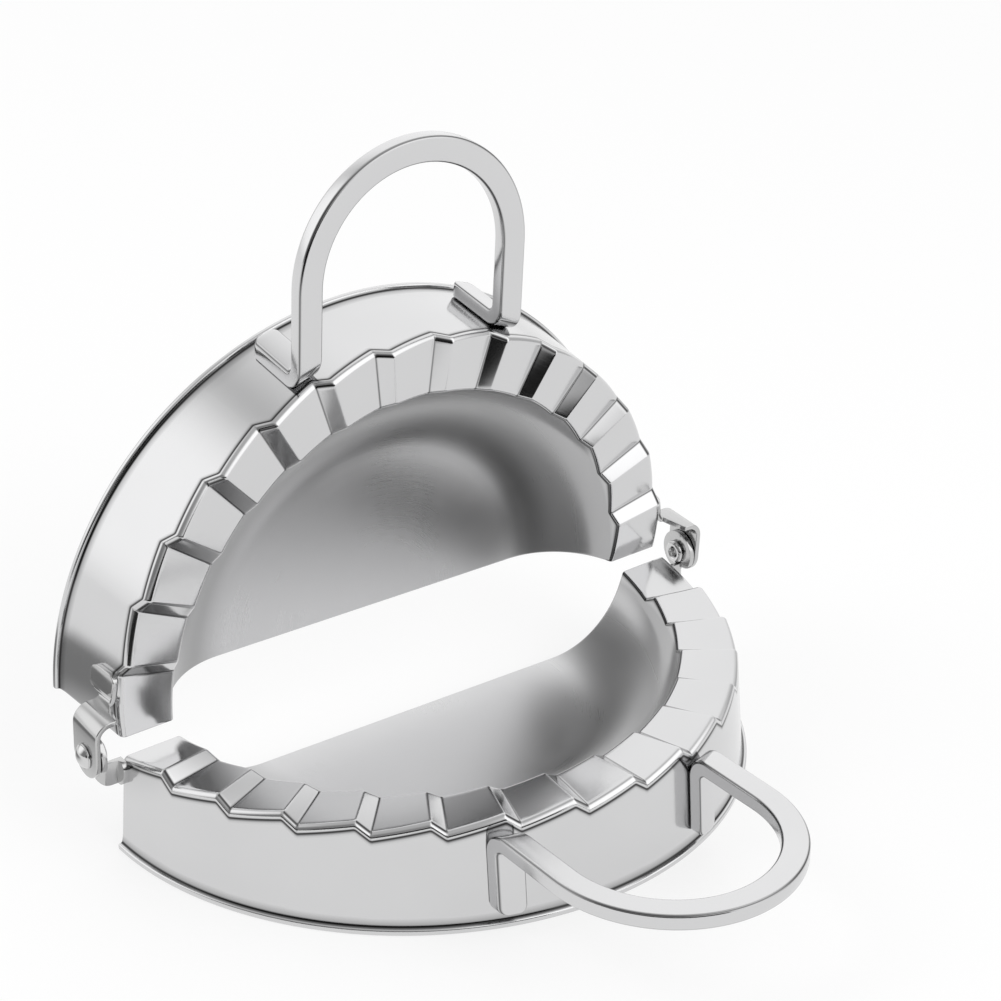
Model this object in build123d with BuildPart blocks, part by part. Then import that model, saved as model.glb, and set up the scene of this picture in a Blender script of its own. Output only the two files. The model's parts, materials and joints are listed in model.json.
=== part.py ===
from build123d import *
from math import cos, radians, sin, sqrt, tan
import os

# Half-round dough press for filled tortillas and turnovers.
# Two equal pressed steel trays turn against each other on a rivet at each end of a straight hinge line.
# Each tray has a dish, a toothed rim, a flared skirt, a flat-bar D handle and two hinge leaves.
# Sizes are in millimetres and angles in degrees.

# Pressed sheet of one half
rim_outer_radius = 60.0
rim_inner_radius = 49.3
sheet = 0.6
base_height = 20.0
skirt_flare = 1.6
lip_proud = 0.8
lip_height = 1.2
lip_edge_radius = 0.35
dish_depth = 13.0
dish_corner_radius = 17.0
dish_draft = 20.0
cut_offset = 1.5

# Teeth of the rim
tooth_count = 15
strip_width = 2.6
tooth_rise_outer = 2.1
tooth_rise_inner = 1.05
closing_gap = 0.8

# Handle of one half
bar_width = 4.8
bar_thickness = 3.0
bar_edge_radius = 0.6
bar_drop = 0.8
bend_inner_radius = 1.2
leg_spread = 42.0
leg_length = 14.0
handle_length = 35.5
foot_depth = 16.5
foot_corner_radius = 1.6

# Hinge leaves
leaf_thickness = 1.0
fold_radius = 0.8
ear_radius = 4.1
ear_standoff = 5.5
ear_gap = 0.2
weld_corner_radius = 1.5
upper_pad_near = 8.0
upper_pad_far = 12.8
upper_pad_top = 1.2
upper_pad_bottom = 8.0
upper_web_clearance = 2.0
lower_pad_far = 3.4
lower_pad_top = 2.2
lower_pad_bottom = 6.6
lower_corner_radius = 2.8

# Rivets
rivet_radius = 1.3
rivet_running_gap = 0.05
head_radius = 2.35
head_height = 1.5
dome_height = 1.15
tail_radius = 2.3
tail_height = 1.1
tail_edge_radius = 0.45
tail_play = 0.1
tail_bore_radius = 0.9
tail_bore_depth = 1.6

# How far the press stands open
opening_angle = 86.0

# The part's frame has X along the hinge line, the front towards -Y and Z up from the table.
# Its origin lies on the table, under the middle of the whole outline.
handle_reach = rim_outer_radius + handle_length + bar_width / 2
front_reach = cut_offset + handle_reach
back_reach = base_height * sin(radians(opening_angle)) - cut_offset * cos(radians(opening_angle))
hinge_y = (front_reach - back_reach) / 2
hinge_point = Location((0, hinge_y, base_height))
tray_on_hinge = Location((0, cut_offset, 0))
lower_place = hinge_point * Rotation(0, 0, 180) * tray_on_hinge
upper_place = hinge_point * Rotation(180 - opening_angle, 0, 0) * tray_on_hinge

os.makedirs("parts", exist_ok=True)

# Each half is drawn in its own frame: its cut along X, its tray towards +Y, its rim level with Z = 0.
clear_above = 3.0
clear_below = 5.0
clear_around = 3.0

# The dish wall meets the rim's inner edge at the middle height of the teeth
dish_turn = 90 - dish_draft
dish_corner_height = dish_corner_radius - dish_depth
dish_corner_top = dish_corner_height - dish_corner_radius * cos(radians(dish_turn))
dish_floor_radius = (
    rim_inner_radius
    - dish_corner_radius * sin(radians(dish_turn))
    - (-closing_gap / 2 - dish_corner_top) * tan(radians(dish_draft))
)


def wall_radius(level, outward=0.0):
    """Radius of the skirt's outer face at a height, or of that face moved outward."""
    slope = skirt_flare / base_height
    return rim_outer_radius - level * slope + outward * sqrt(1 + slope**2)


def dish_outline(outward):
    """Half section of the dish filled up to above the rim, from its inner face moved outward."""
    corner = dish_corner_radius + outward
    arc_end_x = dish_floor_radius + corner * sin(radians(dish_turn))
    arc_end_z = dish_corner_height - corner * cos(radians(dish_turn))
    wall_top_x = arc_end_x + (clear_above - arc_end_z) * tan(radians(dish_draft))
    floor = -dish_depth - outward
    with BuildSketch(Plane.XZ) as outline:
        with BuildLine():
            Line((0, floor), (dish_floor_radius, floor))
            CenterArc((dish_floor_radius, dish_corner_height), corner, -90, dish_turn)
            Polyline((arc_end_x, arc_end_z), (wall_top_x, clear_above), (0, clear_above), (0, floor))
        make_face()
    return outline.sketch


def skirt_outline(inner, outer, low, high):
    """Half section of a band along the skirt wall, from one distance off its face to another."""
    with BuildSketch(Plane.XZ) as outline:
        with BuildLine():
            Polyline(
                (wall_radius(low, inner), low),
                (wall_radius(low, outer), low),
                (wall_radius(high, outer), high),
                (wall_radius(high, inner), high),
                close=True,
            )
        make_face()
    return outline.sketch


def tooth_cell(runs_on_at_start, runs_on_at_end):
    """Solid under one wide panel of the rim and half a strip on each side of it, about the X direction.

    Going round, the surface drops through half a strip, climbs along the panel and drops through half
    a strip again. At an end of the rim the panel runs on to the cut instead.
    """
    half_pitch = radians(90 / tooth_count)
    with BuildPart() as cell:
        for distance in (rim_inner_radius - clear_around, rim_outer_radius + clear_around):
            along = (distance - rim_inner_radius) / (rim_outer_radius - rim_inner_radius)
            rise = tooth_rise_inner + along * (tooth_rise_outer - tooth_rise_inner)
            middle = -closing_gap / 2
            side = distance * tan(half_pitch)
            fold = side - strip_width / 2 / cos(half_pitch)
            run_on = rise / 2 * side / fold
            start_level = middle - run_on if runs_on_at_start else middle
            end_level = middle + run_on if runs_on_at_end else middle
            with BuildSketch(Plane.YZ.offset(distance)):
                with BuildLine():
                    Polyline(
                        (-side, -base_height - clear_below),
                        (side, -base_height - clear_below),
                        (side, end_level),
                        (fold, middle + rise / 2),
                        (-fold, middle - rise / 2),
                        (-side, start_level),
                        close=True,
                    )
                make_face()
        loft(ruled=True)
    return cell.part


# Everything under the toothed surface of the rim, as one block
pitch = 180 / tooth_count
middle_cell = tooth_cell(False, False)
first_cell = tooth_cell(True, False)
last_cell = tooth_cell(False, True)
with BuildPart() as under_teeth:
    with PolarLocations(0, tooth_count - 2, 1.5 * pitch, 180 - 2 * pitch):
        add(middle_cell)
    with PolarLocations(0, 1, 0.5 * pitch):
        add(first_cell)
    with PolarLocations(0, 1, 180 - 0.5 * pitch):
        add(last_cell)
    with BuildSketch(Plane.XY.offset(-base_height - clear_below)):
        Circle(rim_inner_radius - clear_around / 2)
    extrude(amount=base_height)

# Skirt with its turned lip, and the dish, both standing up past the teeth
with BuildPart() as walls:
    revolve(skirt_outline(-sheet, 0, -base_height, clear_above), Axis.Z, 180)
    with BuildSketch(Plane.XZ) as lip_section:
        with BuildLine():
            Polyline(
                (wall_radius(-base_height, -sheet), -base_height),
                (wall_radius(-base_height, lip_proud), -base_height),
                (wall_radius(-base_height, lip_proud), -base_height + lip_height),
                (wall_radius(-base_height, -sheet / 2), -base_height + lip_height),
                close=True,
            )
        make_face()
        fillet(lip_section.vertices().sort_by(Axis.X)[-2:], lip_edge_radius)
    revolve(axis=Axis.Z, revolution_arc=180)
    revolve(dish_outline(sheet), Axis.Z, 180)
    revolve(dish_outline(0), Axis.Z, 180, mode=Mode.SUBTRACT)

# Flat ring that the teeth are cut from
with BuildPart() as rim_ring:
    with BuildSketch(Plane.XY.offset(-base_height)):
        Circle(wall_radius(0) - sheet / 2)
        Circle(rim_inner_radius + sheet / 2, mode=Mode.SUBTRACT)
        Rectangle(
            4 * rim_outer_radius,
            2 * rim_outer_radius,
            align=(Align.CENTER, Align.MAX),
            mode=Mode.SUBTRACT,
        )
    extrude(amount=base_height + clear_above)

with BuildPart() as half_shell:
    add(rim_ring.part)
    add(under_teeth.part.moved(Location((0, 0, -sheet))), mode=Mode.SUBTRACT)
    add(walls.part)
    add(under_teeth.part, mode=Mode.INTERSECT)

# Handle: a flat bar bent to a D, its two feet turned down along the skirt and welded to it.
# The D's plan view meets the bar's side view turned about the middle of the tray.
bar_top = -bar_drop
bar_under = bar_top - bar_thickness
outer_half_width = (leg_spread + bar_width) / 2
leg_reach = rim_outer_radius + leg_length
bend_outer_corner = (wall_radius(bar_top), bar_top)
bend_inner_corner = (wall_radius(bar_under, bar_thickness), bar_under)
with BuildPart() as half_handle:
    with BuildSketch(Plane.XY.offset(-base_height)):
        with Locations((0, leg_reach)):
            Ellipse(outer_half_width, handle_reach - leg_reach)
        Rectangle(2 * outer_half_width, leg_reach, align=(Align.CENTER, Align.MIN))
        with Locations((0, leg_reach)):
            Ellipse(
                outer_half_width - bar_width,
                handle_reach - bar_width - leg_reach,
                mode=Mode.SUBTRACT,
            )
        Rectangle(
            2 * (outer_half_width - bar_width),
            leg_reach,
            align=(Align.CENTER, Align.MIN),
            mode=Mode.SUBTRACT,
        )
    extrude(amount=base_height)
    with BuildSketch(Plane.XZ) as bar_side:
        with BuildLine():
            Polyline(
                bend_outer_corner,
                (wall_radius(-foot_depth), -foot_depth),
                (wall_radius(-foot_depth, bar_thickness), -foot_depth),
                bend_inner_corner,
                (handle_reach + bar_width, bar_under),
                (handle_reach + bar_width, bar_top),
                close=True,
            )
        make_face()
        inner_vertex = bar_side.vertices().sort_by_distance(bend_inner_corner)[0]
        fillet(inner_vertex, bend_inner_radius)
        outer_vertex = bar_side.vertices().sort_by_distance(bend_outer_corner)[0]
        fillet(outer_vertex, bend_inner_radius + bar_thickness)
    revolve(axis=Axis.Z, revolution_arc=180, mode=Mode.INTERSECT)
    foot_ends = half_handle.edges().group_by(Axis.Z)[0].filter_by(GeomType.LINE)
    fillet(foot_ends, foot_corner_radius)
    bar_faces = half_handle.faces().filter_by(Axis.Z)
    bar_sides = bar_faces.edges().filter_by(GeomType.CIRCLE, reverse=True)
    fillet(bar_sides, bar_edge_radius)

# Hinge leaves and rivets are drawn at the +X end of the half, and mirrored for the other end.
# These planes have their origin on the hinge line. One faces its end and one looks down on it.
hinge_end = Plane((0, -cut_offset, 0), x_dir=(0, 1, 0), z_dir=(1, 0, 0))
hinge_plan = Plane((0, -cut_offset, 0), x_dir=(1, 0, 0), z_dir=(0, 0, 1))
hinge_axis = Axis((0, -cut_offset, 0), (1, 0, 0))
lower_ear_face = rim_outer_radius + ear_standoff
leaf_span = 2 * rim_outer_radius


def end_rectangle(near, far, top, bottom, corner_radius=0.0):
    """Rectangle seen along the hinge line, its far corners rounded where a radius is given."""
    with BuildSketch(hinge_end) as outline:
        with Locations((near, -bottom)):
            Rectangle(far - near, bottom - top, align=(Align.MIN, Align.MIN))
        if corner_radius:
            fillet(outline.vertices().group_by(Axis.X)[-1], corner_radius)
    return outline.sketch


def ear_outline(near, far, top, bottom):
    """Ear seen along the hinge line: a round plate about it, drawn out to a rectangle at the fold."""
    with BuildSketch(hinge_end) as outline:
        Circle(ear_radius)
        with Locations((near, -bottom)):
            Rectangle(far - near, bottom - top, align=(Align.MIN, Align.MIN))
        make_hull()
    return outline.sketch


def fold_plan(ear_inner, web_end, near, far):
    """Plan of a leaf's fold: an ear plate along the hinge line's end, and a web in to the skirt."""
    ear_outer = ear_inner + leaf_thickness
    with BuildSketch(hinge_plan.offset(-base_height)) as outline:
        with BuildLine():
            Polyline(
                (web_end, far),
                (ear_outer, far),
                (ear_outer, -ear_radius),
                (ear_inner, -ear_radius),
                (ear_inner, near),
                (web_end, near),
                close=True,
            )
        make_face()
        fillet(outline.vertices().sort_by_distance((ear_outer, far))[0], fold_radius + leaf_thickness)
        fillet(outline.vertices().sort_by_distance((ear_inner, near))[0], fold_radius)
    return outline.sketch


# Upper leaf: a pad on the outside of the skirt, a web outward and an ear outside the lower one.
# Near the skirt the web stops short of the rim's level, so that it clears the other half's rim.
upper_ear_inner = lower_ear_face + ear_gap
upper_web_near = upper_pad_near - leaf_thickness
with BuildPart() as upper_fold:
    extrude(fold_plan(upper_ear_inner, rim_inner_radius, upper_web_near, upper_pad_near), amount=leaf_span)
    extrude(
        ear_outline(upper_web_near, upper_pad_near, -ear_radius, ear_radius),
        amount=leaf_span,
        mode=Mode.INTERSECT,
    )
    extrude(
        end_rectangle(0, upper_pad_far, -leaf_span, upper_pad_top),
        amount=rim_outer_radius + upper_web_clearance,
        mode=Mode.SUBTRACT,
    )
    revolve(skirt_outline(-rim_inner_radius, 0, -base_height, clear_above), Axis.Z, mode=Mode.SUBTRACT)
with BuildPart() as upper_leaf:
    revolve(skirt_outline(0, leaf_thickness, -base_height, clear_above), Axis.Z, 90)
    extrude(
        end_rectangle(upper_web_near, upper_pad_far, upper_pad_top, upper_pad_bottom, weld_corner_radius),
        amount=leaf_span,
        mode=Mode.INTERSECT,
    )
    add(upper_fold.part)
    with BuildSketch(hinge_end):
        Circle(rivet_radius)
    extrude(amount=leaf_span, mode=Mode.SUBTRACT)

# Lower leaf: a narrow pad on the outside of the skirt, a web outward past the cut and an ear on its end
lower_ear_inner = lower_ear_face - leaf_thickness
lower_web_near = cut_offset - leaf_thickness
lower_ear_bottom = lower_pad_bottom - lower_corner_radius
with BuildPart() as lower_web:
    extrude(fold_plan(lower_ear_inner, rim_inner_radius, lower_web_near, cut_offset), amount=leaf_span)
    extrude(
        end_rectangle(lower_web_near, cut_offset, lower_pad_top, lower_pad_bottom),
        amount=leaf_span,
        mode=Mode.INTERSECT,
    )
    revolve(skirt_outline(-rim_inner_radius, 0, -base_height, clear_above), Axis.Z, mode=Mode.SUBTRACT)
    with BuildSketch(Plane.XZ) as web_front:
        with Locations((lower_ear_face, -lower_pad_bottom)):
            Rectangle(rim_outer_radius, lower_pad_bottom, align=(Align.MAX, Align.MIN))
        fillet(web_front.vertices().sort_by(Axis.Y)[:2].sort_by(Axis.X)[-1], lower_corner_radius)
    extrude(amount=cut_offset, mode=Mode.INTERSECT)
with BuildPart() as lower_ear:
    extrude(ear_outline(lower_web_near, cut_offset, lower_pad_top, lower_ear_bottom), amount=lower_ear_face)
    extrude(
        end_rectangle(lower_web_near, ear_radius, lower_pad_top, lower_pad_bottom),
        amount=leaf_span,
        mode=Mode.SUBTRACT,
    )
    with BuildSketch(hinge_end):
        Circle(leaf_span)
    extrude(amount=lower_ear_inner, mode=Mode.SUBTRACT)
with BuildPart() as lower_leaf:
    revolve(skirt_outline(0, leaf_thickness, -base_height, clear_above), Axis.Z, 90)
    extrude(
        end_rectangle(lower_web_near, lower_pad_far, lower_pad_top, lower_pad_bottom, weld_corner_radius),
        amount=leaf_span,
        mode=Mode.INTERSECT,
    )
    add(lower_web.part)
    add(lower_ear.part)
    with BuildSketch(hinge_end):
        Circle(rivet_radius + rivet_running_gap)
    extrude(amount=leaf_span, mode=Mode.SUBTRACT)

# Rivet: a domed head on the upper ear, and a hollow tail rolled over inside the lower one
tail_face = lower_ear_inner - tail_play
tail_end = tail_face - tail_height
dome_radius = (head_radius**2 + dome_height**2) / (2 * dome_height)
dome_foot = upper_ear_inner + leaf_thickness + head_height - dome_height
with BuildPart() as rivet:
    with BuildSketch(hinge_plan) as section:
        with BuildLine():
            Polyline(
                (dome_foot + dome_height, 0),
                (tail_end + tail_bore_depth, 0),
                (tail_end + tail_bore_depth, tail_bore_radius),
                (tail_end, tail_bore_radius),
                (tail_end, tail_radius),
                (tail_face, tail_radius),
                (tail_face, rivet_radius),
                (upper_ear_inner + leaf_thickness, rivet_radius),
                (upper_ear_inner + leaf_thickness, head_radius),
                (dome_foot, head_radius),
            )
            RadiusArc((dome_foot, head_radius), (dome_foot + dome_height, 0), dome_radius)
        make_face()
        fillet(section.vertices().group_by(Axis.X)[0], tail_edge_radius)
    revolve(axis=hinge_axis)

# The two halves in their places
for name, half_part, place in (
    ("lower_shell", half_shell.part, lower_place),
    ("upper_shell", half_shell.part, upper_place),
    ("lower_handle", half_handle.part, lower_place),
    ("upper_handle", half_handle.part, upper_place),
):
    with BuildPart() as piece:
        add(half_part.moved(place))
    piece.part.label = name
    export_step(piece.part, f"parts/{name}.step")

# Seen from the front, the +X end is the right one on the upper half and the left one on the lower half
for name, end_part, place, is_mirrored in (
    ("lower_hinge_leaf_left", lower_leaf.part, lower_place, False),
    ("lower_hinge_leaf_right", lower_leaf.part, lower_place, True),
    ("upper_hinge_leaf_left", upper_leaf.part, upper_place, True),
    ("upper_hinge_leaf_right", upper_leaf.part, upper_place, False),
    ("hinge_rivet_left", rivet.part, upper_place, True),
    ("hinge_rivet_right", rivet.part, upper_place, False),
):
    with BuildPart() as piece:
        if is_mirrored:
            add(end_part.mirror(Plane.YZ).moved(place))
        else:
            add(end_part.moved(place))
    piece.part.label = name
    export_step(piece.part, f"parts/{name}.step")
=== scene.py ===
import json
import math

import bmesh
import bpy
import numpy as np
from mathutils import Matrix


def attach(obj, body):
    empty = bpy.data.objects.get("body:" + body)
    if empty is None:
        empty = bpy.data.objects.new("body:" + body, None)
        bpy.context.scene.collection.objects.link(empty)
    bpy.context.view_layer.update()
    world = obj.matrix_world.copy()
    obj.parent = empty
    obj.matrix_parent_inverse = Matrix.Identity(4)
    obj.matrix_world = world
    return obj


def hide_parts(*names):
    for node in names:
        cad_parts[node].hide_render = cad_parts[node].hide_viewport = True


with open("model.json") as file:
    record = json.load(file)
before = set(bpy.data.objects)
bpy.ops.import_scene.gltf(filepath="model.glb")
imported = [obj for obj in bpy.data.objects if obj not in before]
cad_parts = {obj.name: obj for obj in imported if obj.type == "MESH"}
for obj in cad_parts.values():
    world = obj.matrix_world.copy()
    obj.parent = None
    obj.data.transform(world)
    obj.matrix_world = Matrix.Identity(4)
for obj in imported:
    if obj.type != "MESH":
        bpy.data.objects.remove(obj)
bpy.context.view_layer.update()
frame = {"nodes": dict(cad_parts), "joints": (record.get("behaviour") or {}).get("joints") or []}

# Half-round dough press, standing open at 86 degrees. The pieces are worked out in millimetres in the
# frame of one half: cut along X, tray towards +Y, rim level at Z = 0, then put in place as metres.

press = {
    "opening": 86.0,        # degrees between the two rims
    "height": 20.0,         # rim above the table
    "cutOffset": 1.5,       # cut of each half from the hinge line
}
closing = next(joint for joint in frame["joints"] if joint["name"] == "closing_hinge")
hingePoint = np.array(closing["pos_m"]) * 1000


def inPlace(points, half):
    # lower half: turned half round about the upright through the hinge line's middle, x and y change sign
    # upper half: lifted about the hinge line, y and z turn by 180 degrees less the opening
    x, y, z = points[:, 0], points[:, 1] + press["cutOffset"], points[:, 2]
    if half == "lower":
        turned = np.stack([-x, -y, z], 1)
    else:
        lift = math.radians(180 - press["opening"])
        turned = np.stack([x, y * math.cos(lift) - z * math.sin(lift),
                           y * math.sin(lift) + z * math.cos(lift)], 1)
    return (turned + hingePoint) / 1000


def gridFaces(rows, columns, closedRows=False):
    # quads between neighbouring rows and columns of points numbered row by row
    i = np.arange(rows if closedRows else rows - 1)
    a = (i[:, None] * columns + np.arange(columns - 1)[None, :]).ravel()
    b = (((i + 1) % rows)[:, None] * columns + np.arange(columns - 1)[None, :]).ravel()
    return np.stack([a, a + 1, b + 1, b], 1)


def linkPiece(name, mesh):
    # smooth-shaded object at the origin, with its place in its mesh
    mesh.polygons.foreach_set("use_smooth", [True] * len(mesh.polygons))
    piece = bpy.data.objects.new(name, mesh)
    bpy.context.scene.collection.objects.link(piece)
    return piece


def meshPiece(name, points, faces, half, layers=None, uv=None, weld=1e-7):
    # points in millimetres put in place, with number layers and a UV map per point; doubles nearer than
    # the weld distance in metres are merged, and all faces are turned outwards
    mesh = bpy.data.meshes.new(name)
    mesh.from_pydata(inPlace(points, half).tolist(), [], faces)
    for layerName, values in (layers or {}).items():
        mesh.attributes.new(layerName, "FLOAT", "POINT").data.foreach_set("value", values.astype(np.float32))
    if uv is not None:
        loops = np.zeros(len(mesh.loops), np.int32)
        mesh.loops.foreach_get("vertex_index", loops)
        mesh.uv_layers.new(name="surface").data.foreach_set("uv", uv[loops].astype(np.float32).ravel())
    shape = bmesh.new()
    shape.from_mesh(mesh)
    if weld:
        bmesh.ops.remove_doubles(shape, verts=shape.verts, dist=weld)
    bmesh.ops.recalc_face_normals(shape, faces=shape.faces)
    shape.to_mesh(mesh)
    shape.free()
    return linkPiece(name, mesh)


# Pressed shell of one half

shell = {
    "outerRadius": 60.0,    # of the toothed rim
    "innerRadius": 49.3,
    "sheet": 0.6,
    "flare": 1.6,           # how much wider the skirt is at the table
    "dishDepth": 13.0,
    "dishCorner": 17.0,
    "dishDraft": 20.0,      # lean of the dish wall in degrees
    "teeth": 15,
    "stripWidth": 2.6,      # steep strip between two panels
    "riseOuter": 2.1,       # climb of a panel from fold to fold, at the rim's two edges
    "riseInner": 1.5,
    "middle": -0.4,         # middle height of the teeth, half the closing gap below the rim level
    "foldRound": 0.32,      # half width of the bend along a fold
    "innerRound": 0.75,     # radii of the rim's two edges
    "outerRound": 1.15,
    "lipProud": 0.8,
    "lipHeight": 1.2,
    "lipRound": 0.38,
    "cutRound": 0.14,       # radius of the cut sheet's edges
    "satinInset": 1.5,      # the satin of the dish ends this far inside the rim
    "satinFade": 3.0,       # after fading over this width
    "dishCornerShadeFade": 6.0,       # the painted shade of the dish's corner sets in over this width
    "dishCornerShadeEnd": 0.8,        # and ends over this one, at the rim
}


def foldColumns():
    # Lines that run across the rim. Each is a cell number with a and b: its side distance from the cell's
    # middle ray is a * distance * tan(half pitch) + b, so that it keeps to a fold all the way out.
    halfStrip = shell["stripWidth"] / 2 / math.cos(math.radians(90 / shell["teeth"]))
    bend = shell["foldRound"] * np.array([-1.5, -1, -0.75, -0.5, -0.25, 0, 0.25, 0.5, 0.75, 1, 1.5])
    panel = np.linspace(-1, 1, 9)[1:-1]
    columns = []
    for cell in range(shell["teeth"]):
        start = [(-1.0, b) for b in (0.0, halfStrip * 0.35)] + [(-1.0, halfStrip + t) for t in bend]
        end = [(-a, -b) for a, b in start[::-1]]
        middle = [(t, -t * (halfStrip + bend[-1])) for t in panel]
        # the first and the last panel run on to the cut without a fold
        if cell == 0:
            start = [(-1.0, 0.0), (-1.0, 0.4), (-1.0, halfStrip)]
        if cell == shell["teeth"] - 1:
            end = [(1.0, -halfStrip), (1.0, -0.4), (1.0, 0.0)]
        else:
            end = end[:-1]                      # the next cell starts with this line
        columns += [(cell, a, b) for a, b in start + middle + end]
    return np.array(columns), halfStrip


def columnAngle(columns, radius):
    # angle round the rim at which a line crosses a circle of that radius
    halfPitch = math.radians(90 / shell["teeth"])
    lean = np.arctan(columns[:, 1] * math.tan(halfPitch))
    return (2 * columns[:, 0] + 1) * halfPitch + lean + np.arcsin(columns[:, 2] * np.cos(lean) / radius)


def rimLevel(columns, radius, halfStrip):
    # Height of the toothed face: the panel climbs by the rise from fold to fold, each half strip drops back
    # to the middle, and a quadratic ramp rounds the bend between them.
    halfPitch = math.radians(90 / shell["teeth"])
    turn = columnAngle(columns, radius) - (2 * columns[:, 0] + 1) * halfPitch
    distance, side = radius * np.cos(turn), radius * np.sin(turn)
    fold = distance * math.tan(halfPitch) - halfStrip
    along = (distance - shell["innerRadius"]) / (shell["outerRadius"] - shell["innerRadius"])
    rise = shell["riseInner"] + along * (shell["riseOuter"] - shell["riseInner"])
    past = np.abs(side) - fold
    rho = shell["foldRound"]
    ramp = np.where(past > rho, past, np.where(past < -rho, 0, (past + rho) ** 2 / (4 * rho)))
    runsOn = ((columns[:, 0] == 0) & (side < 0)) | ((columns[:, 0] == shell["teeth"] - 1) & (side > 0))
    ramp = np.where(runsOn, 0, ramp)
    return shell["middle"] + rise / 2 * (side / fold - np.sign(side) * ramp * (1 / halfStrip + 1 / fold))


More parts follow.
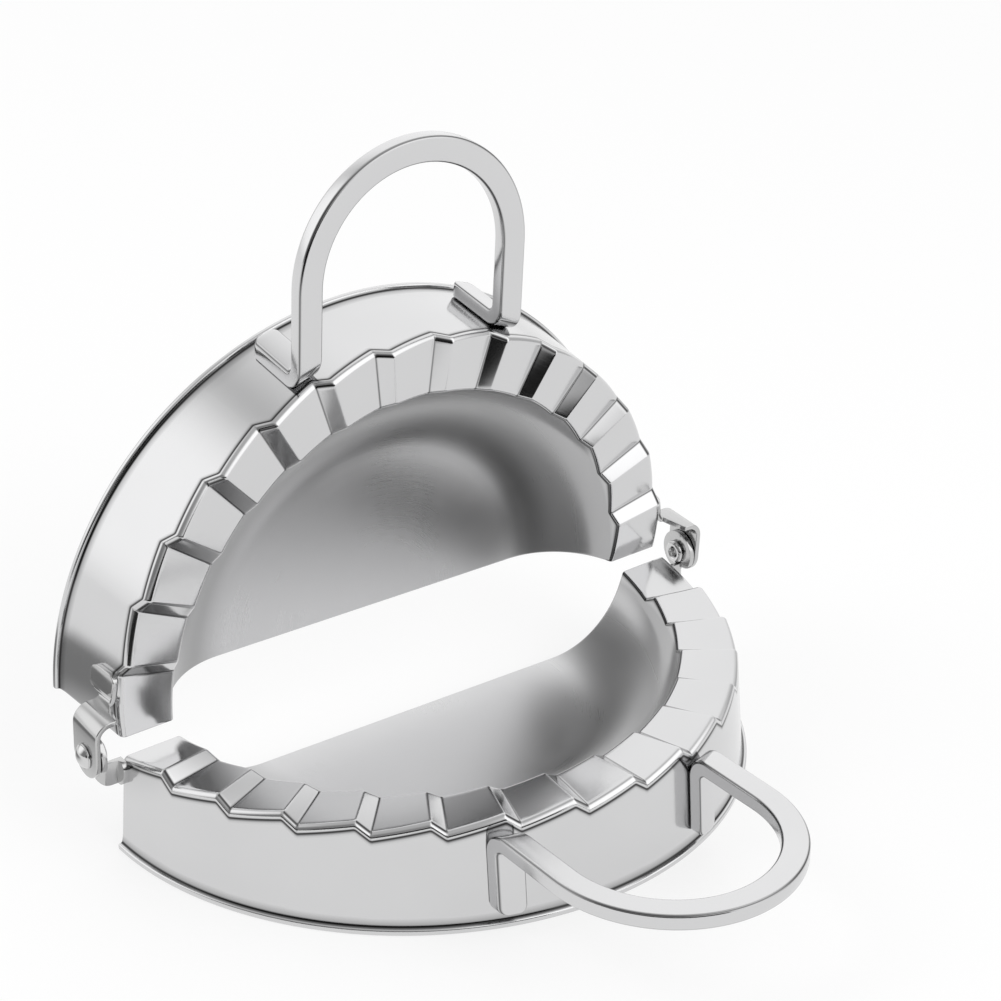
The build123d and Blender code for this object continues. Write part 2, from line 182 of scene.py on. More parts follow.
def shellPiece(name, half):
    # A section carried round the half circle: each row of the grid is a radius and a height over all the
    # columns, from the dish's middle out over the rim and down the skirt to the lip, and then back along
    # the sheet's other face, which is the first one moved by the sheet's thickness across its heading.
    columns, halfStrip = foldColumns()
    count = len(columns)
    sheet = shell["sheet"]
    slope = shell["flare"] / press["height"]
    draft = math.radians(shell["dishDraft"])
    ones = np.ones(count)

    # dish: flat floor, round corner, straight wall up to the rim's inner edge
    cornerTop = shell["dishCorner"] - shell["dishDepth"] - shell["dishCorner"] * math.sin(draft)
    floorRadius = shell["innerRadius"] - shell["dishCorner"] * math.cos(draft)
    floorRadius -= (shell["middle"] - cornerTop) * math.tan(draft)
    innerLevel = rimLevel(columns, shell["innerRadius"], halfStrip)
    inner = np.stack([shell["innerRadius"] + (innerLevel - shell["middle"]) * math.tan(draft), innerLevel])
    outerLevel = rimLevel(columns, shell["outerRadius"], halfStrip)
    outer = np.stack([shell["outerRadius"] - outerLevel * slope, outerLevel])

    rows = []       # radius, height and heading of each row, each an array over the columns
    marks = []      # how dark each row's painted shade is: all round, at the folds, on the strips

    def addRow(radius, height, heading, line=0.0, folds=0.0, strips=0.0):
        rows.append((radius * ones, height * ones, heading * ones))
        marks.append((line, folds, strips))

    for t in (0, 0.006, 0.015, 0.035, 0.08, 0.16, 0.28, 0.42, 0.56, 0.7, 0.84, 0.95, 1):
        addRow(floorRadius * t, -shell["dishDepth"], 0)
    for turn in np.linspace(0, math.pi / 2 - draft, 19)[1:]:
        addRow(floorRadius + shell["dishCorner"] * math.sin(turn),
               shell["dishCorner"] - shell["dishDepth"] - shell["dishCorner"] * math.cos(turn), turn)

    def cornerStart(corner, headingIn, headingOut, radius):
        # where an arc that rounds the corner leaves the line that comes in
        reach = radius * np.tan((headingIn - headingOut) / 2)
        return corner - reach * np.stack([np.cos(headingIn), np.sin(headingIn)])

    def roundedCorner(corner, headingIn, headingOut, radius, cornerMarks):
        # arc that leaves one straight line and meets the next, turning right, in rows of equal angle
        start = cornerStart(corner, headingIn, headingOut, radius)
        centre = start + radius * np.stack([np.sin(headingIn), -np.cos(headingIn)])
        for t, mark in zip(np.linspace(0, 1, len(cornerMarks)), cornerMarks):
            heading = headingIn + (headingOut - headingIn) * t
            addRow(centre[0] - radius * np.sin(heading), centre[1] + radius * np.cos(heading),
                   heading, *mark)

    wallHeading = (math.pi / 2 - draft) * ones
    rimHeading = np.arctan2(outer[1] - inner[1], outer[0] - inner[0])
    skirtHeading = -math.atan2(1, slope) * ones
    wallEnd = np.array([rows[-1][0], rows[-1][1]])
    wallTop = cornerStart(inner, wallHeading, rimHeading, shell["innerRound"])
    for t, line in ((0.3, 0), (0.6, 0), (0.8, 0.3)):
        addRow(*(wallEnd + (wallTop - wallEnd) * t), wallHeading, line)
    innerMarks = [(0.9,), (1.0,), (0.5, 0.3), (0, 0.7)] + [(0, 0.8)] * 5
    roundedCorner(inner, wallHeading, rimHeading, shell["innerRound"], innerMarks)
    for t in (0.1, 0.2, 0.35, 0.5, 0.65, 0.78, 0.86):
        addRow(*(inner + (outer - inner) * t), rimHeading, 0, 0.8)
    outerMarks = [(0, 0.8), (0, 1, 0.3), (0, 1, 0.95), (0, 1, 1), (0, 1, 0.8), (0, 0.6, 0.2)]
    outerMarks += [(0, 0.3)] * 5
    roundedCorner(outer, rimHeading, skirtHeading, shell["outerRound"], outerMarks)

    # skirt: a painted shadow line just under the rim's edge, then straight down to the lip
    lipTop = -press["height"] + shell["lipHeight"]
    skirtTop = outerLevel - 0.95 * shell["outerRound"]
    for drop, line in ((0.05, 0.2), (0.2, 0.95), (0.4, 1.0), (0.6, 0.55), (0.9, 0.12), (1.3, 0)):
        addRow(shell["outerRadius"] - (skirtTop - drop) * slope, skirtTop - drop, skirtHeading, line)
    plainTop, plainEnd = skirtTop - 1.5, lipTop + 0.6
    for t in (0.05, 0.2, 0.4, 0.6, 0.8, 0.93):
        level = plainTop + (plainEnd - plainTop) * t
        addRow(shell["outerRadius"] - level * slope, level, skirtHeading)

    radius, height, heading = (np.array(part) for part in zip(*rows))
    under = radius + sheet * np.sin(heading), height - sheet * np.cos(heading)

    # turned lip: a small hollow where the skirt leaves, then round the bead and in under it
    foot = shell["outerRadius"] + shell["flare"]
    proud, rho = shell["lipProud"], shell["lipRound"]
    lip = [(-0.3 * slope, lipTop + 0.55), (0.04, lipTop + 0.25), (0.16, lipTop + 0.07), (0.3, lipTop)]
    lipMarks = [0.4, 1.0, 1.0, 0.5, 0, 0, 0, 0, 0, 0, 0, 0.1, 0.3, 0.6, 1.0]
    for t in np.linspace(math.pi / 2, 0, 5):
        lip.append((proud - rho + rho * math.cos(t), lipTop - rho + rho * math.sin(t)))
    for t in np.linspace(0, -math.pi / 2, 5):
        lip.append((proud - rho + rho * math.cos(t), -press["height"] + rho + rho * math.sin(t)))
    lip.append((0.0, -press["height"]))
    lip = np.array(lip)
    lipRadius = (foot + lip[:, 0])[:, None] * ones
    lipHeight = lip[:, 1][:, None] * ones
    backHeight = np.linspace(lipTop + 0.5, -press["height"], len(lip))[:, None] * ones
    backRadius = shell["outerRadius"] - backHeight * slope - sheet * math.sqrt(1 + slope**2)

    # one closed ring of the two faces, with the direction from each point into the sheet
    topR = np.concatenate([radius, lipRadius])
    topZ = np.concatenate([height, lipHeight])
    backR = np.concatenate([under[0], backRadius])
    backZ = np.concatenate([under[1], backHeight])
    backR[0] = 0
    thick = np.hypot(backR - topR, backZ - topZ)
    inR, inZ = (backR - topR) / thick, (backZ - topZ) / thick
    inR[0], inZ[0] = 0, -1
    ringR, ringZ = np.concatenate([topR, backR[::-1]]), np.concatenate([topZ, backZ[::-1]])
    inR, inZ = np.concatenate([inR, -inR[::-1]]), np.concatenate([inZ, -inZ[::-1]])

    # the folds run straight across the rim, and along rays inside and outside it
    acrossRim = np.clip(ringR, shell["innerRadius"], shell["outerRadius"])
    angle = np.stack([columnAngle(columns, radii) for radii in acrossRim])
    angle[:, 0], angle[:, -1] = 0, math.pi
    # the rays leave from just inside the cut, so that the cut edge can be rounded
    cut = shell["cutRound"]
    nearEnd = np.clip(1 - np.minimum(angle, math.pi - angle) / 0.01, 0, 1)
    blend = np.clip(1 - ringR / 30, 0, 1)
    x = ringR * np.cos(angle)
    y = ringR * np.sin(angle) + cut * (blend + (1 - blend) * nearEnd)
    z = ringZ + 0
    cutTurns = np.radians([90, 60, 30])
    for end, side in ((0, 1), (-1, -1)):
        extra = []
        for t in cutTurns:
            inset = cut * (1 - math.cos(t))
            extra.append((side * (ringR[:, end] + inR[:, end] * inset),
                          np.full(len(ringR), cut * (1 - math.sin(t))),
                          ringZ[:, end] + inZ[:, end] * inset))
        extra = [np.stack(part, 1) for part in zip(*extra[::side])]
        grids = [(extra[k], g) if end == 0 else (g, extra[k]) for k, g in enumerate((x, y, z))]
        x, y, z = (np.concatenate(pair, 1) for pair in grids)
    rowCount, columnCount = x.shape
    points = np.stack([x.ravel(), y.ravel(), z.ravel()], 1)
    quads = gridFaces(rowCount, columnCount)
    i = np.arange(rowCount // 2 - 1)            # the two cut faces, across the sheet from face to face
    j = rowCount - 1 - i
    corners = np.stack([i, i + 1, j - 1, j], 1) * columnCount
    quads = np.concatenate([quads, corners, corners + columnCount - 1])

    # UV: round the rim and along the section, in tenths of a metre
    steps = (np.diff(part, axis=0, prepend=part[:1]) for part in (ringR, ringZ))
    along = np.cumsum(np.hypot(*steps), 0)[:, 0]
    extraCount = len(cutTurns)
    around = np.concatenate([[0] * extraCount, angle[-1], [math.pi] * extraCount]) * shell["outerRadius"]
    uv = np.stack(np.broadcast_arrays(around[None, :], along[:, None]), 2).reshape(-1, 2) / 100

    # the dish is satin, and its corner is darkened by painted shade
    satin = np.clip((shell["innerRadius"] - shell["satinInset"] - ringR) / shell["satinFade"], 0, 1)
    dishCornerShade = np.clip((ringR - floorRadius + 1) / shell["dishCornerShadeFade"], 0, 1)
    dishCornerShade = dishCornerShade * np.clip((shell["innerRadius"] + 0.3 - ringR) / shell["dishCornerShadeEnd"], 0, 1)
    dishCornerShade[len(topR):] = 0

    # painted shade and painted dark reflections: dark lines along the rim's two edges, the lip, the low
    # folds and the strips' outer ends
    line, foldMark, stripMark = (np.array(part)[:, None] for part in zip(*marks))
    lowFold = (columns[:, 1] == -1) & (columns[:, 0] > 0)
    offset = np.abs(columns[:, 2]) - halfStrip
    lowFold = lowFold * np.clip(1 - np.abs(offset) / (0.8 * shell["foldRound"]), 0, 1)
    onStrip = np.clip(-offset / 0.15, 0, 1) * (np.abs(columns[:, 1]) == 1)
    onStrip[:3] = onStrip[-3:] = 0
    paintedShade = np.maximum(line, np.maximum(foldMark * lowFold, stripMark * onStrip))
    paintedShade = np.concatenate([paintedShade, np.array(lipMarks)[:, None] * ones, np.zeros((len(backR), count))])

    def overCut(values):
        # the values of the end columns carried over the rounded cut
        first, last = values[:, :1].repeat(extraCount, 1), values[:, -1:].repeat(extraCount, 1)
        return np.concatenate([first, values, last], 1).ravel()

    layers = {"satin": overCut(satin), "dishCornerShade": overCut(dishCornerShade), "paintedShade": overCut(paintedShade)}
    piece = meshPiece(name, points, quads.tolist(), half, layers=layers, uv=uv)
    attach(piece, half)
    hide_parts(name.replace("Shell", "_shell"))
    return piece


lowerShell = shellPiece("lowerShell", "lower")
upperShell = shellPiece("upperShell", "upper")
print("shells:", len(lowerShell.data.polygons), "faces each")


# Flat-bar handle of one half

handle = {
    "barWidth": 4.8,
    "barThickness": 3.0,
    "edgeRound": 0.6,
    "edgeSegments": 6,      # of each rounded edge
    "barDrop": 0.8,         # top of the bar below the rim
    "bendInner": 1.2,       # where the foot turns into the leg
    "legSpread": 42.0,      # between the middles of the two legs
    "legReach": 74.0,       # where the straight legs end, from the middle of the press
    "handleReach": 97.9,
    "footDepth": 16.5,      # end of the foot below the rim
    "footCorner": 1.6,
    "endRound": 0.45,
}


def barLoop(halfWidth, halfThickness, edge):
    # rounded rectangle as side and depth: a quarter circle of even steps about each of its four corners
    steps = np.linspace(0, math.pi / 2, handle["edgeSegments"] + 1)
    side, depth = [], []
    for sx, sz, turn in ((1, 1, 0), (-1, 1, 1), (-1, -1, 2), (1, -1, 3)):
        bend = steps + turn * math.pi / 2
        side.append(sx * (halfWidth - edge) + edge * np.cos(bend))
        depth.append(sz * (halfThickness - edge) + edge * np.sin(bend))
    return np.concatenate(side), np.concatenate(depth)


def handlePiece(name, half):
    # A rounded bar section carried up the foot along the skirt, over the bend, out along the leg and round
    # the half ellipse, then back the same way. Each station gives how far out it is, its level and its lean.
    slope = shell["flare"] / press["height"]
    norm = math.sqrt(1 + slope**2)
    bendOuter = handle["bendInner"] + handle["barThickness"]
    centreZ = -handle["barDrop"] - bendOuter
    wallZ = centreZ - bendOuter * slope / norm
    centreR = shell["outerRadius"] - wallZ * slope + bendOuter / norm
    halfWidth, halfThick = handle["barWidth"] / 2, handle["barThickness"] / 2
    edge, corner, endRound = handle["edgeRound"], handle["footCorner"], handle["endRound"]
    legX = handle["legSpread"] / 2

    # stations up the foot, close together where its end is rounded and its corners turn in: radius and
    # height of the bar's middle line, its normal, and the half width and half thickness that it has there
    stations = []
    footZ = -handle["footDepth"]
    length = (wallZ - footZ) * norm
    roundedEnd = endRound * (1 - np.sin(np.radians([90, 68, 45, 22])))
    turnedIn = [endRound, 0.7, 1.0, 1.3, 1.6, 1.8]
    for d in np.concatenate([roundedEnd, turnedIn, np.linspace(turnedIn[-1], length, 9)[1:]]):
        level = footZ + d / norm
        wide = halfWidth - corner + math.sqrt(max(corner**2 - max(corner - d, 0) ** 2, 0))
        thick = halfThick - endRound + math.sqrt(max(endRound**2 - max(endRound - d, 0) ** 2, 0))
        wallR = shell["outerRadius"] - level * slope
        stations.append((wallR + halfThick / norm, level + halfThick * slope / norm,
                         -1 / norm, -slope / norm, wide, thick))
    endTurn = math.pi + math.atan(slope)        # the bend
    midBend = handle["bendInner"] + halfThick
    for turn in np.linspace(endTurn, math.pi / 2, 15)[1:]:
        stations.append((centreR + midBend * math.cos(turn), centreZ + midBend * math.sin(turn),
                         math.cos(turn), math.sin(turn), halfWidth, halfThick))

    rings = []
    for radius, level, normalR, normalZ, wide, thick in stations:
        sideMm, depthMm = barLoop(wide, thick, min(edge, thick - 0.02, wide - 0.02))    # 0.02 keeps a flat
        x = legX + sideMm
        reach = radius + depthMm * normalR
        rings.append(np.stack([x, np.sqrt(reach**2 - x**2), level + depthMm * normalZ], 1))
    sideMm, depthMm = barLoop(halfWidth, halfThick, edge)      # the level leg, then a quarter of the bow
    level = -handle["barDrop"] - halfThick + depthMm
    bendEnd = np.sqrt(centreR**2 - (legX + sideMm) ** 2)
    for t in np.linspace(0, 1, 7)[1:-1]:
        rings.append(np.stack([legX + sideMm, bendEnd + (handle["legReach"] - bendEnd) * t, level], 1))
    outerDepth = handle["handleReach"] - handle["legReach"]
    for turn in np.linspace(0, math.pi / 2, 33):
        x = (legX + sideMm) * math.cos(turn)
        y = handle["legReach"] + (outerDepth - halfWidth + sideMm) * math.sin(turn)
        rings.append(np.stack([x, y, level], 1))
    rings = np.array(rings)
    mirrored = rings[:-1][::-1] * np.array([-1, 1, 1])
    rings = np.concatenate([rings, mirrored])
    stationCount, loopCount = rings.shape[:2]
    points = rings.transpose(1, 0, 2).reshape(-1, 3)
    quads = gridFaces(loopCount, stationCount, closedRows=True)

    # each end of the foot closes on a point in its middle
    centres = np.stack([rings[0].mean(0), rings[-1].mean(0)])
    points = np.concatenate([points, centres])
    faces = quads.tolist()
    for k, end in enumerate((0, stationCount - 1)):
        ring = (np.arange(loopCount) * stationCount + end).tolist()
        faces += [[a, b, len(points) - 2 + k] for a, b in zip(ring, ring[1:] + ring[:1])]

    def runLength(path):
        # distance run along a path up to each of its points
        return np.concatenate([[0], np.cumsum(np.linalg.norm(np.diff(path, axis=0), axis=1))])

    along, across = runLength(rings.mean(1)), runLength(np.stack([sideMm, depthMm], 1))
    uv = np.stack(np.broadcast_arrays(across[:, None], along[None, :]), 2).reshape(-1, 2) / 100
    uv = np.concatenate([uv, np.zeros((2, 2))])
    # painted dark reflection: a thin dark line along the middle of every rounded edge
    edgeLine = np.tile([0, 0, 0.4, 1, 0.4, 0, 0], 4)[:, None] * np.ones(stationCount)
    layers = {"paintedShade": np.append(edgeLine.ravel(), [0, 0])}
    piece = meshPiece(name, points, faces, half, layers=layers, uv=uv, weld=0)
    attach(piece, half)
    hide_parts(name.replace("Handle", "_handle"))
    return piece


lowerHandle = handlePiece("lowerHandle", "lower")
upperHandle = handlePiece("upperHandle", "upper")
print("handles:", len(lowerHandle.data.polygons), "faces each")


# Hinge leaves and rivets

leaf = {
    "flatAngle": 0.6,       # triangles within this angle are one flat face
    "edgeRound": 0.17,      # soft edges that blanking and tumbling leave
    "edgeSteps": 3,
    "sharpAngle": 35.0,     # edges sharper than this are eased
}


def leafPiece(name, nodeName, half):
    # the plate of the frame's node, its triangles joined into whole faces, with its edges eased
    shape = bmesh.new()
    shape.from_mesh(frame["nodes"][nodeName].data)
    bmesh.ops.remove_doubles(shape, verts=shape.verts, dist=1e-6)
    flat = math.radians(leaf["flatAngle"])
    bmesh.ops.dissolve_limit(shape, angle_limit=flat, verts=shape.verts, edges=shape.edges)
    mesh = bpy.data.meshes.new(name)
    shape.to_mesh(mesh)
    shape.free()
    piece = linkPiece(name, mesh)
    bevel = piece.modifiers.new("easedEdges", "BEVEL")
    bevel.width, bevel.segments = leaf["edgeRound"] / 1000, leaf["edgeSteps"]
    bevel.limit_method, bevel.angle_limit = "ANGLE", math.radians(leaf["sharpAngle"])
    bevel.harden_normals = True
    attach(piece, half)
    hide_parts(nodeName)
    return piece


strip = {
    "thickness": 1.0,
    "padFar": 12.8,         # far edge of the pad on the skirt, from the hinge line
    "padTop": 1.2,          # its top and bottom below the rim level
    "padBottom": 8.0,
    "padCorner": 1.5,
    "webMiddle": 7.5,       # where the strip leaves the skirt, from the hinge line
    "skirtBend": 0.9,       # middle radii of its two bends
    "earBend": 2.6,
    "earMiddle": 66.2,      # from the middle of the press
    "earRadius": 4.1,
    "neckBottom": 4.6,
    "neckFade": 1.2,        # length over which the pad narrows to the neck
    "stepFrom": 61.0,       # where the strip widens from the neck to the ear, from the middle of the press
    "stepTo": 62.6,
    "leanFade": 0.6,        # length over which the lean of the skirt goes out of it
    "edgeRound": 0.2,
}


def eased(t):
    # from 0 to 1 with level ends: 3 t squared less 2 t cubed, and flat before and after
    t = np.clip(t, 0, 1)
    return t * t * (3 - 2 * t)


def stripLeafPiece(name, nodeName, side):
    # A flat strip with rounded edges, bent twice. Along its middle line it lies on the skirt's cone, turns
    # out, runs out past the rim and turns down into the ear; across, it runs between two outlines in height.
    # Each lane of the rounded edge is the outline moved inward by its inset and off the middle by its depth.
    slope = shell["flare"] / press["height"]
    halfThick, edge, away = strip["thickness"] / 2, strip["edgeRound"], press["cutOffset"]
    skirtR = shell["outerRadius"] + halfThick
    padY, webY = strip["padFar"] - away, strip["webMiddle"] - away

    # middle line in plan: points and the direction in which it runs
    y = np.linspace(padY, webY + strip["skirtBend"] * 1.05, 8)
    line = [np.stack([np.sqrt(skirtR**2 - y**2), y], 1)]
    r = strip["skirtBend"]
    t = np.linspace(0.1, math.pi / 2, 7)
    skirtX = math.sqrt(skirtR**2 - webY**2)
    line.append(np.stack([skirtX + r - r * np.cos(t), webY + r - r * np.sin(t)], 1))
    webX = np.linspace(skirtX + r + 0.15, strip["earMiddle"] - strip["earBend"], 7)
    line.append(np.stack([webX, np.full(len(webX), webY)], 1))
    r = strip["earBend"]
    t = np.linspace(0, math.pi / 2, 13)[1:]
    line.append(np.stack([strip["earMiddle"] - r + r * np.sin(t), webY - r + r * np.cos(t)], 1))
    earY = np.linspace(webY - r, -away, 5)[1:]
    line.append(np.stack([np.full(len(earY), strip["earMiddle"]), earY], 1))
    line = np.concatenate(line)
    run = np.gradient(line, axis=0)
    run /= np.linalg.norm(run, axis=1)[:, None]
    normal = np.stack([-run[:, 1], run[:, 0]], 1)
    tip = np.radians(np.linspace(0, 90, 13)[1:])       # the ear's round end

    # heights of the two outlines along that line
    onSkirt = np.clip((strip["stepFrom"] - line[:, 0]) / strip["leanFade"] + 1, 0, 1)
    onSkirt = onSkirt * (line[:, 1] > webY - 0.01)
    step = eased((line[:, 0] - strip["stepFrom"]) / (strip["stepTo"] - strip["stepFrom"]))
    top = -strip["padTop"] + (strip["earRadius"] + strip["padTop"]) * step
    neck = eased((line[:, 1] - webY - 0.1) / strip["neckFade"])
    bottom = -strip["neckBottom"] - (strip["padBottom"] - strip["neckBottom"]) * neck
    bottom = bottom + (strip["neckBottom"] - strip["earRadius"]) * step

    bend = np.radians(np.linspace(0, 90, 5))
    flat = halfThick - edge
    depths = np.concatenate([flat + edge * np.cos(bend), -flat - edge * np.sin(bend)])
    insets = np.concatenate([edge - edge * np.sin(bend), edge - edge * np.cos(bend)])
    lanes = []
    for sign in (1, -1):
        for depth, inset in zip(depths[::sign], insets[::sign]):
            limit = top - inset if sign == 1 else bottom + inset
            corner = strip["padCorner"] - inset
            gone = np.clip(corner - (padY - line[:, 1]), 0, corner) * (line[:, 1] > webY + 1)
            limit = limit - sign * (corner - np.sqrt(np.maximum(corner**2 - gone**2, 0)))
            middle = line + depth * normal
            middle[0, 1] -= inset
            lean = onSkirt * slope * -limit
            ear = (strip["earRadius"] - inset) * np.stack([np.cos(tip), np.sin(tip)])
            x = np.append(middle[:, 0] + lean, np.full(len(tip), strip["earMiddle"] + depth * normal[-1, 0]))
            y = np.append(middle[:, 1], -away - ear[1])
            lanes.append(np.stack([side * x, y, np.append(limit, sign * ear[0])], 1))
    lanes = np.array(lanes)
    laneCount, stationCount = lanes.shape[:2]
    quads = gridFaces(laneCount, stationCount, closedRows=True)
    k = np.arange(laneCount // 2 - 1)
    ends = np.stack([k, k + 1, laneCount - 2 - k, laneCount - 1 - k], 1) * stationCount
    quads = np.concatenate([quads, ends, ends + stationCount - 1])
    piece = meshPiece(name, lanes.reshape(-1, 3), quads.tolist(), "upper")
    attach(piece, "upper")
    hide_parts(nodeName)
    return piece


rivet = {
    "headRadius": 2.35,
    "headFace": 66.7,       # where the head sits on the outer ear, from the middle of the press
    "headEdge": 0.35,
    "headRound": 0.25,      # radius of the head's rim
    "domeHeight": 1.15,
    "domeInset": 0.12,      # the dome starts this far inside the rim
    "shankRadius": 1.3,
    "fillet": 0.3,
    "tailFace": 64.4,       # where the tail is rolled over on the inner ear
    "tailHeight": 1.1,
    "tailRadius": 2.3,
    "tailEdge": 0.15,
    "boreRadius": 0.9,      # hollow of the tail
    "boreDepth": 1.6,
    "turns": 64,
}


def rivetPiece(name, nodeName, side):
    # A profile turned about the hinge line, from the top of the dome to the floor of the bore. Each point
    # is how far out along the line it is and its radius: a spherical cap, a rounded rim, the shank, and a
    # rolled tail that is half an ellipse in section.
    dome, head = rivet["domeHeight"], rivet["headRadius"] - rivet["domeInset"]
    sphere = (head**2 + dome**2) / (2 * dome)
    top = rivet["headFace"] + rivet["headEdge"] + dome
    t = np.linspace(0, math.asin(head / sphere), 13)
    profile = [np.stack([top - sphere * (1 - np.cos(t)), sphere * np.sin(t)], 1)]
    t = np.radians([50, 25, 0, -25, -50, -75])
    rim, rimX = rivet["headRound"], rivet["headFace"] + rivet["headEdge"] - 0.1
    profile.append(np.stack([rimX + rim * np.sin(t), rivet["headRadius"] - rim + rim * np.cos(t)], 1))
    profile.append(np.array([
        (rivet["headFace"], rivet["shankRadius"] + rivet["fillet"]),
        (rivet["headFace"], rivet["shankRadius"]),
        (rivet["tailFace"], rivet["shankRadius"]),
        (rivet["tailFace"], rivet["tailRadius"] - rivet["fillet"]),
    ]))
    t = np.linspace(0, math.pi, 13)[1:]
    rollMiddle = (rivet["tailRadius"] + rivet["boreRadius"]) / 2
    rollHalf = (rivet["tailRadius"] - rivet["boreRadius"]) / 2
    rollX = rivet["tailFace"] - rivet["tailEdge"] - (rivet["tailHeight"] - rivet["tailEdge"]) * np.sin(t)
    profile.append(np.stack([rollX, rollMiddle + rollHalf * np.cos(t)], 1))
    floorX = rivet["tailFace"] - rivet["tailHeight"] + rivet["boreDepth"]
    profile.append(np.array([
        (floorX - rivet["fillet"], rivet["boreRadius"]),
        (floorX, rivet["boreRadius"] * 0.7),
        (floorX, 0),
    ]))
    profile = np.concatenate(profile)
    turns = np.linspace(0, 2 * math.pi, rivet["turns"] + 1)
    points = np.stack(np.broadcast_arrays(
        side * profile[:, :1],
        profile[:, 1:] * np.cos(turns) - press["cutOffset"],
        profile[:, 1:] * np.sin(turns)), 2).reshape(-1, 3)
    piece = meshPiece(name, points, gridFaces(len(profile), len(turns)).tolist(), "upper")
    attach(piece, "upper")
    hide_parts(nodeName)
    return piece


hingeEnds = (("Left", -1), ("Right", 1))
leaves, rivets = [], []
for end, side in hingeEnds:
    leaves.append(leafPiece("lowerLeaf" + end, "lower_hinge_leaf_" + end.lower(), "lower"))
for end, side in hingeEnds:
    leaves.append(stripLeafPiece("upperLeaf" + end, "upper_hinge_leaf_" + end.lower(), side))
for end, side in hingeEnds:
    rivets.append(rivetPiece("rivet" + end, "hinge_rivet_" + end.lower(), side))
print("hinges:", len(leaves), "leaves and", len(rivets), "rivets")


# Finishes

# lines: how closely the polishing lines lie along the two directions of the UV map, or of the object;
# satinDark and the other Dark keys: what is left of the colour where the piece's layer of that name is full;
# all but the satin one are painted shade
finish = {
    "sheet": {
        "colour": (0.64, 0.64, 0.645), "roughness": 0.13, "lines": (2.5, 700), "lineDepth": 0.25,
        "satinDark": 0.99, "satinRoughness": 0.3, "dishCornerShadeDark": 0.64, "paintedShadeDark": 0.06,
    },
    "bar": {
        "colour": (0.65, 0.65, 0.655), "roughness": 0.15, "lines": (900, 3), "lineDepth": 0.5,
        "paintedShadeDark": 0.12,
    },
    "leaf": {"colour": (0.53, 0.53, 0.53), "roughness": 0.17, "lines": (900, 260), "lineDepth": 0.5},
    "rivet": {"colour": (0.64, 0.64, 0.64), "roughness": 0.12, "lines": (700, 700), "lineDepth": 0.3},
}
polish = {
    "blotchScale": 55.0,
    "tone": (0.955, 1.03),          # how far the blotches darken and lighten
    "gloss": (0.8, 1.25),           # and change the roughness
    "lineGloss": 0.02,              # what the lines add to it and take from it
    "lineHeight": 0.000002,         # metres
}


def steelMaterial(name, look, onUv=True):
    # polished stainless steel: fine polishing lines that follow the piece, soft blotches in gloss and tone
    material = bpy.data.materials.new(name)
    material.use_nodes = True
    nodes, links = material.node_tree.nodes, material.node_tree.links
    shader = nodes["Principled BSDF"]
    shader.inputs["Metallic"].default_value = 1

    def node(kind, **settings):
        made = nodes.new("ShaderNode" + kind)
        for key, value in settings.items():
            if hasattr(made, key):
                setattr(made, key, value)
            else:
                made.inputs[key].default_value = value
        return made

    coordinate = node("TexCoord")
    stretch = node("Mapping", Scale=(*look["lines"], 1))
    fineLines = node("TexNoise", Scale=1.0, Detail=2.0)
    blotches = node("TexNoise", Scale=polish["blotchScale"], Detail=3.0)
    links.new(coordinate.outputs["UV" if onUv else "Object"], stretch.inputs["Vector"])
    links.new(stretch.outputs[0], fineLines.inputs["Vector"])
    links.new(coordinate.outputs["Object"], blotches.inputs["Vector"])

    def ranged(source, low, high, fromLow=0.0, fromHigh=1.0):
        # a socket's values spread from one range to another
        made = node("MapRange", **{"From Min": fromLow, "From Max": fromHigh, "To Min": low, "To Max": high})
        links.new(source, made.inputs["Value"])
        return made

    def combined(operation, first, second):
        made = node("Math", operation=operation)
        links.new(first.outputs[0], made.inputs[0])
        links.new(second.outputs[0], made.inputs[1])
        return made

    tone = ranged(blotches.outputs[0], *polish["tone"])
    glossier, duller = (look["roughness"] * part for part in polish["gloss"])
    gloss = ranged(blotches.outputs[0], glossier, duller, 0.3, 0.7)
    lineGloss = ranged(fineLines.outputs[0], -polish["lineGloss"], polish["lineGloss"], 0.3, 0.7)
    roughness = combined("ADD", gloss, lineGloss)
    colour = node("Mix", data_type="RGBA", blend_type="MULTIPLY")
    colour.inputs[0].default_value = 1
    colour.inputs[6].default_value = (*look["colour"], 1)
    grey = node("CombineColor")
    links.new(grey.outputs[0], colour.inputs[7])
    for layer in ("satin", "dishCornerShade", "paintedShade"):
        # the dish is left satin, and painted shade darkens the dish's corner and lays dark lines along edges
        # and folds
        if layer + "Dark" in look:
            mark = node("Attribute", attribute_name=layer)
            tone = combined("MULTIPLY", tone, ranged(mark.outputs["Fac"], 1.0, look[layer + "Dark"]))
    for k in range(3):
        links.new(tone.outputs[0], grey.inputs[k])
    if "satinRoughness" in look:
        satin = node("Attribute", attribute_name="satin")
        extra = ranged(satin.outputs["Fac"], 0.0, look["satinRoughness"] - look["roughness"])
        roughness = combined("ADD", roughness, extra)
    links.new(colour.outputs[2], shader.inputs["Base Color"])
    links.new(roughness.outputs[0], shader.inputs["Roughness"])
    relief = node("Bump", Strength=look["lineDepth"], Distance=polish["lineHeight"])
    links.new(fineLines.outputs[0], relief.inputs["Height"])
    links.new(relief.outputs[0], shader.inputs["Normal"])
    return material


sheetSteel = steelMaterial("polishedSheet", finish["sheet"])
barSteel = steelMaterial("barSteel", finish["bar"])
leafSteel = steelMaterial("leafSteel", finish["leaf"], onUv=False)
rivetSteel = steelMaterial("rivetSteel", finish["rivet"], onUv=False)
dressed = (
    (sheetSteel, (lowerShell, upperShell)),
    (barSteel, (lowerHandle, upperHandle)),
    (leafSteel, leaves),
    (rivetSteel, rivets),
)
for material, pieces in dressed:
    for piece in pieces:
        piece.data.materials.append(material)
print("finishes:", len(dressed), "steels")


# Floor, light and camera

